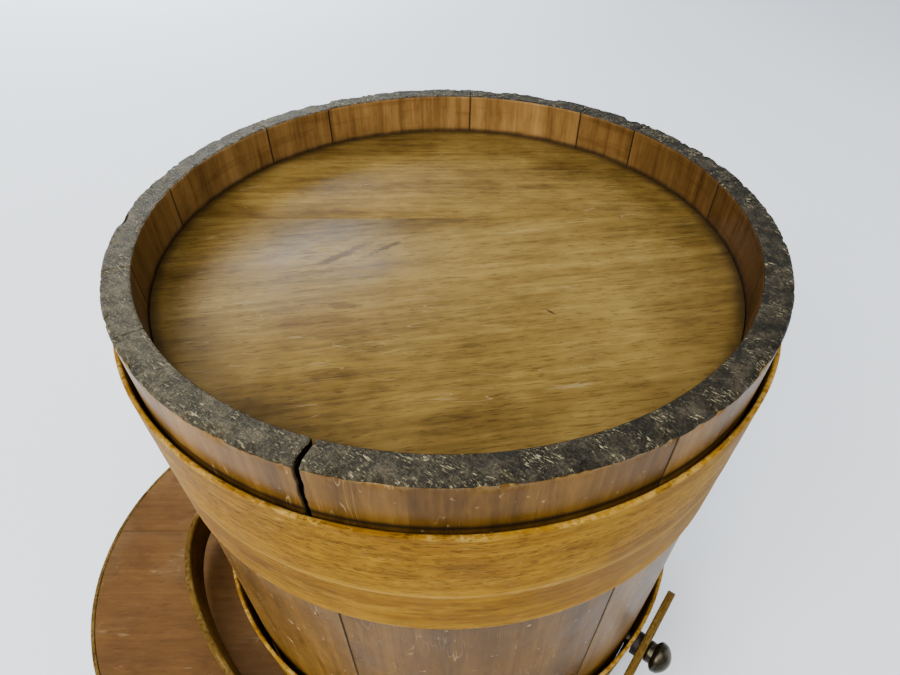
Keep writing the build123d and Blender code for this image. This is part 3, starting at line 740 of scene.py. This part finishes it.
def build_bail():
    droop = bail_droop()
    along = Vector((0, -math.cos(droop), -math.sin(droop)))
    up = Vector((0, -math.sin(droop), math.cos(droop)))
    half, bow = BAIL_HALF_WIDTH + BAIL_STRIP / 2, BAIL_BOW + BAIL_STRIP / 2
    tip = np.array([0, 0.15, 0.5, 1.2, 2.5, 4.5, 7, 10, 13, 18]) * MM - BAIL_TAIL
    arm = np.concatenate([tip, np.linspace(-BAIL_TAIL + 24 * MM, BAIL_ARM, 40)])
    path = [(half, s) for s in arm]
    path += [(half * math.cos(a), BAIL_ARM + bow * math.sin(a)) for a in np.linspace(0, math.pi, 150)[1:-1]]
    path += [(-half, s) for s in arm[::-1]]
    path = np.array(path)
    heading = np.gradient(path, axis=0)
    heading /= np.linalg.norm(heading, axis=1)[:, None]
    outward = np.stack([heading[:, 1], -heading[:, 0]], -1)
    length = np.concatenate([[0], np.cumsum(np.linalg.norm(np.diff(path, axis=0), axis=1))])
    to_end = np.minimum(length, length[-1] - length)
    r = BAIL_WIDTH / 2
    spread = np.where(to_end < r, np.sqrt(np.maximum(r * r - (r - to_end) ** 2, (0.6 * MM) ** 2)), r) / r
    section = strip_section(BAIL_WIDTH, BAIL_STRIP, 1.5 * MM, 18, 12)
    verts, grain, worn, across = [], [], [], []
    for i, (place, out) in enumerate(zip(path, outward)):
        for share, y in section:
            side = (share - 0.5) * BAIL_STRIP
            flat = place + out * side
            lift = y * spread[i]
            p = PIN + Vector((flat[0], 0, 0)) + along * flat[1] + up * lift
            verts.append(p)
            grain.append((length[i], y, side))
            worn.append(1 - float(smooth(0.2 * MM, 1.6 * MM, BAIL_WIDTH / 2 - abs(y))))
            across.append(y / BAIL_WIDTH + 0.5)
    verts = np.array([tuple(v) for v in verts])
    worn = np.array(worn) * smooth(-0.6, 0.5, field(verts, 60, 41))
    faces = strip_faces(len(path), len(section), False)
    shown = {"grain": np.array(grain) + 3.3, "worn": worn, "across": np.array(across)}
    solid = new_object("bent_bail", verts, [tuple(reversed(f)) for f in faces], BAIL_WOOD, shown)
    drill(solid, 4.05 * MM)
    return finish_piece(solid, "bail", "bail_wood", "bail")


def drill(obj, radius):
    """Cut the pins' holes through the arms."""
    bpy.ops.mesh.primitive_cylinder_add(vertices=48, radius=radius, depth=0.5, location=PIN,
                                        rotation=(0, math.pi / 2, 0))
    cutter = bpy.context.object
    cut = obj.modifiers.new("pin_holes", "BOOLEAN")
    cut.operation = "DIFFERENCE"
    cut.object = cutter
    cut.solver = "EXACT"
    bpy.context.view_layer.update()
    shape = bpy.data.meshes.new_from_object(obj.evaluated_get(bpy.context.evaluated_depsgraph_get()))
    obj.modifiers.clear()
    obj.data = shape
    bpy.data.objects.remove(cutter)


build_bail()


# ---- pins and tacks ----
def lathe(name, place, axis, profile, material, seed, steps=48, dents=0.05 * MM):
    """A turned solid: profile is distance along the axis and radius, ends on the axis."""
    profile = np.array(profile)
    axis = Vector(axis).normalized()
    side = axis.orthogonal().normalized()
    other = axis.cross(side)
    verts = [place + axis * profile[0][0]]
    for x, radius in profile[1:-1]:
        for k in range(steps):
            a = 2 * math.pi * k / steps
            verts.append(place + axis * x + (side * math.cos(a) + other * math.sin(a)) * radius)
    verts.append(place + axis * profile[-1][0])
    verts = np.array([tuple(v) for v in verts])
    rings = len(profile) - 2
    faces = [(0, 1 + (k + 1) % steps, 1 + k) for k in range(steps)]
    for i in range(rings - 1):
        a, b = 1 + i * steps, 1 + (i + 1) * steps
        faces += [(a + k, a + (k + 1) % steps, b + (k + 1) % steps, b + k) for k in range(steps)]
    last = 1 + (rings - 1) * steps
    faces += [(len(verts) - 1, last + k, last + (k + 1) % steps) for k in range(steps)]
    centre = np.array(tuple(place))
    offsets = verts - centre
    along = offsets @ np.array(tuple(axis))
    radial = offsets - along[:, None] * np.array(tuple(axis))
    size = np.linalg.norm(radial, axis=1, keepdims=True)
    wobble = field(verts, 260, seed, 2)[:, None] * dents
    verts = verts - np.where(size > 5 * MM, radial / np.maximum(size, 1e-9) * np.abs(wobble), 0)
    return new_object(name, verts, faces, material, {})


def rounded(points, radius, steps=4):
    """A profile with its inner corners rounded."""
    points = [np.array(p, float) for p in points]
    out = [points[0]]
    for before, here, after in zip(points, points[1:], points[2:]):
        a, b = before - here, after - here
        la, lb = np.linalg.norm(a), np.linalg.norm(b)
        cut = min(radius, 0.45 * la, 0.45 * lb)
        start, end = here + a / la * cut, here + b / lb * cut
        for t in np.linspace(0, 1, steps + 1):
            out.append((1 - t) ** 2 * start + 2 * t * (1 - t) * here + t * t * end)
    out.append(points[-1])
    return out


def build_pins():
    """Round-headed pins: collar, neck and domed head outside the arm, riveted inside."""
    collar = BAIL_HALF_WIDTH + BAIL_STRIP + 0.2 * MM
    inner_end, tip = (corner.x - PIN.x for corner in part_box("bail_pin_right"))
    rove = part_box("pin_rove_right")[0].x - PIN.x
    head, widest = collar + 4.0 * MM, collar + 8.4 * MM
    height, width = tip - widest, 9.6 * MM
    dome_radius = (height ** 2 + width ** 2) / (2 * height)
    opening = math.asin(width / dome_radius)
    profile = [(inner_end, 0), (inner_end, 2.6 * MM), (rove - 0.8 * MM, 5 * MM), (rove, 5 * MM), (rove, 4 * MM),
               (collar, 4 * MM), (collar, 6.8 * MM), (head, 6.6 * MM), (head + 0.2 * MM, 7.6 * MM),
               (head + 1.8 * MM, width), (widest, width)]
    profile = rounded(profile, 1.2 * MM)[:-1]
    for turn in np.linspace(opening, 0, 14)[1:]:
        profile.append((tip - dome_radius * (1 - math.cos(turn)), dome_radius * math.sin(turn)))
    for side, sign in (("right", 1), ("left", -1)):
        pin = lathe("turned_pin_" + side, PIN, (sign, 0, 0), profile, PIN_METAL, 50)
        finish_piece(pin, "barrel", "pin_metal", "bail_pin_" + side)


def build_tacks(node, body, centre):
    """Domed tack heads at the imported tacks' places."""
    packed = frame["nodes"][node].data
    points = np.array([v.co for v in packed.vertices])
    groups = []
    for p in points:
        for group in groups:
            if np.linalg.norm(group[0] - p) < 9 * MM:
                group.append(p)
                break
        else:
            groups.append([p])
    heads = []
    for index, group in enumerate(groups):
        group = np.array(group)
        middle = (group.min(0) + group.max(0)) / 2
        out = Vector((middle[0] - centre.x, middle[1] - centre.y, 0)).normalized()
        reach = ((group - np.array((centre.x, centre.y, 0))) @ np.array(tuple(out))).max()
        foot = Vector((centre.x, centre.y, middle[2])) + out * (reach - 0.8 * MM)
        profile = [(-2.0 * MM, 0), (-1.6 * MM, 0.8 * MM), (-0.1 * MM, 0.9 * MM), (0.0, 2.9 * MM),
                   (0.35 * MM, 2.75 * MM), (0.62 * MM, 2.0 * MM), (0.75 * MM, 1.0 * MM), (0.78 * MM, 0)]
        heads.append(lathe(f"{node}_head_{index}", foot, out, profile, IRON, 60 + index, 20, 0))
    with bpy.context.temp_override(active_object=heads[0], selected_editable_objects=heads,
                                   selected_objects=heads, object=heads[0]):
        bpy.ops.object.join()
    heads[0].name = "domed_" + node
    return finish_piece(heads[0], body, "iron_fittings", node)


build_pins()
build_tacks("bottom_hoop_tacks", "barrel", BARREL)
build_tacks("top_hoop_tacks", "barrel", BARREL)
build_tacks("lid_band_tacks", "lid", LID)
for node in ("pin_rove_right", "pin_rove_left", "pin_spacer_right", "pin_spacer_left"):
    packed = frame["nodes"][node]
    packed.data.materials.clear()
    packed.data.materials.append(IRON)


# ---- stage: pale floor, soft studio light, and the camera ----
def pale_material():
    n = Nodes("pale_floor")
    place = n.coordinates()
    tint = n.noise(place, 1.2, 2.0)
    colour = n.ramp(tint, (0.3, (0.80, 0.84, 0.885)), (0.7, (0.84, 0.875, 0.915)))
    return n.surface(Base_Color=colour, Roughness=0.85, Normal=n.bump(n.noise(place, 300, 2.0), 0.05, 0.2 * MM))


def build_stage():
    size = 6.0
    mesh = bpy.data.meshes.new("floor")
    corners = [(-size, -size, 0), (size, -size, 0), (size, size, 0), (-size, size, 0)]
    mesh.from_pydata(corners, [], [(0, 1, 2, 3)])
    mesh.materials.append(pale_material())
    floor = bpy.data.objects.new("floor", mesh)
    bpy.context.scene.collection.objects.link(floor)


def area_light(name, place, target, size, power, colour):
    light = bpy.data.lights.new(name, "AREA")
    light.shape = "RECTANGLE"
    light.size, light.size_y = size
    light.energy = power
    light.color = colour
    lamp = bpy.data.objects.new(name, light)
    lamp.location = place
    lamp.rotation_euler = (Vector(target) - Vector(place)).to_track_quat("-Z", "Y").to_euler()
    bpy.context.scene.collection.objects.link(lamp)


VIEW_ANGLE = math.radians(37.6)      # the camera stands this far round from -Y, towards +X
to_scene = Matrix.Rotation(VIEW_ANGLE, 4, "Z")
CHIME_CENTRE = Vector((BARREL.x, BARREL.y, CHIME_Z))


def from_view(x, y, z):
    """A point given in the camera's own left-right, near-far, up-down round the chime's centre."""
    return CHIME_CENTRE + to_scene @ Vector((x, y, z))


def build_world():
    """A pale studio: brighter above and beyond the churn than behind the camera."""
    world = bpy.data.worlds.new("studio")
    bpy.context.scene.world = world
    world.use_nodes = True
    nodes, links = world.node_tree.nodes, world.node_tree.links
    direction = nodes.new("ShaderNodeTexCoord").outputs["Generated"]
    aim = nodes.new("ShaderNodeVectorMath")
    aim.operation = "DOT_PRODUCT"
    aim.inputs[1].default_value = to_scene.to_3x3() @ Vector((-0.25, 0.55, 0.80))
    links.new(direction, aim.inputs[0])
    level = nodes.new("ShaderNodeMapRange")
    level.inputs["From Min"].default_value = -0.6
    level.inputs["To Min"].default_value = 0.16
    level.inputs["To Max"].default_value = 0.80
    links.new(aim.outputs["Value"], level.inputs["Value"])
    background = nodes["Background"]
    background.inputs["Color"].default_value = (0.86, 0.92, 1.0, 1)
    links.new(level.outputs["Result"], background.inputs["Strength"])


def build_lights():
    target = from_view(0, 0, -0.1)
    beyond = from_view(-0.8, 1.8, -0.33)
    area_light("key", from_view(-1.2, -1.2, 1.2), target, (1.1, 1.1), 62, (1.0, 0.985, 0.96))
    area_light("ceiling", from_view(0.2, -0.9, 1.9), target, (1.5, 1.1), 34, (1.0, 0.98, 0.95))
    area_light("window", from_view(-1.6, 0.6, 1.5), target, (1.3, 1.2), 16, (0.98, 0.99, 1.0))
    area_light("far_light", from_view(-1.0, 2.3, 0.9), beyond, (1.4, 1.0), 78, (0.80, 0.90, 1.0))
    area_light("right_card", from_view(1.5, -0.1, 0.3), target, (0.9, 1.2), 8, (0.96, 0.98, 1.0))


def build_camera():
    camera = bpy.data.cameras.new("camera")
    camera.sensor_width = 36.0
    camera.lens = 26.0
    camera.clip_start, camera.clip_end = 0.01, 30
    camera.dof.use_dof = False
    eye = bpy.data.objects.new("camera", camera)
    eye.location = from_view(0, -1.7422 * CHIME_RADIUS, 1.0573 * CHIME_RADIUS)
    pan, tilt = math.radians(0.255), math.radians(42.098)
    look = Vector((math.sin(pan) * math.cos(tilt), math.cos(pan) * math.cos(tilt), -math.sin(tilt)))
    eye.rotation_euler = (to_scene.to_3x3() @ look).to_track_quat("-Z", "Y").to_euler()
    bpy.context.scene.collection.objects.link(eye)
    bpy.context.scene.camera = eye


build_stage()
build_world()
build_lights()
build_camera()
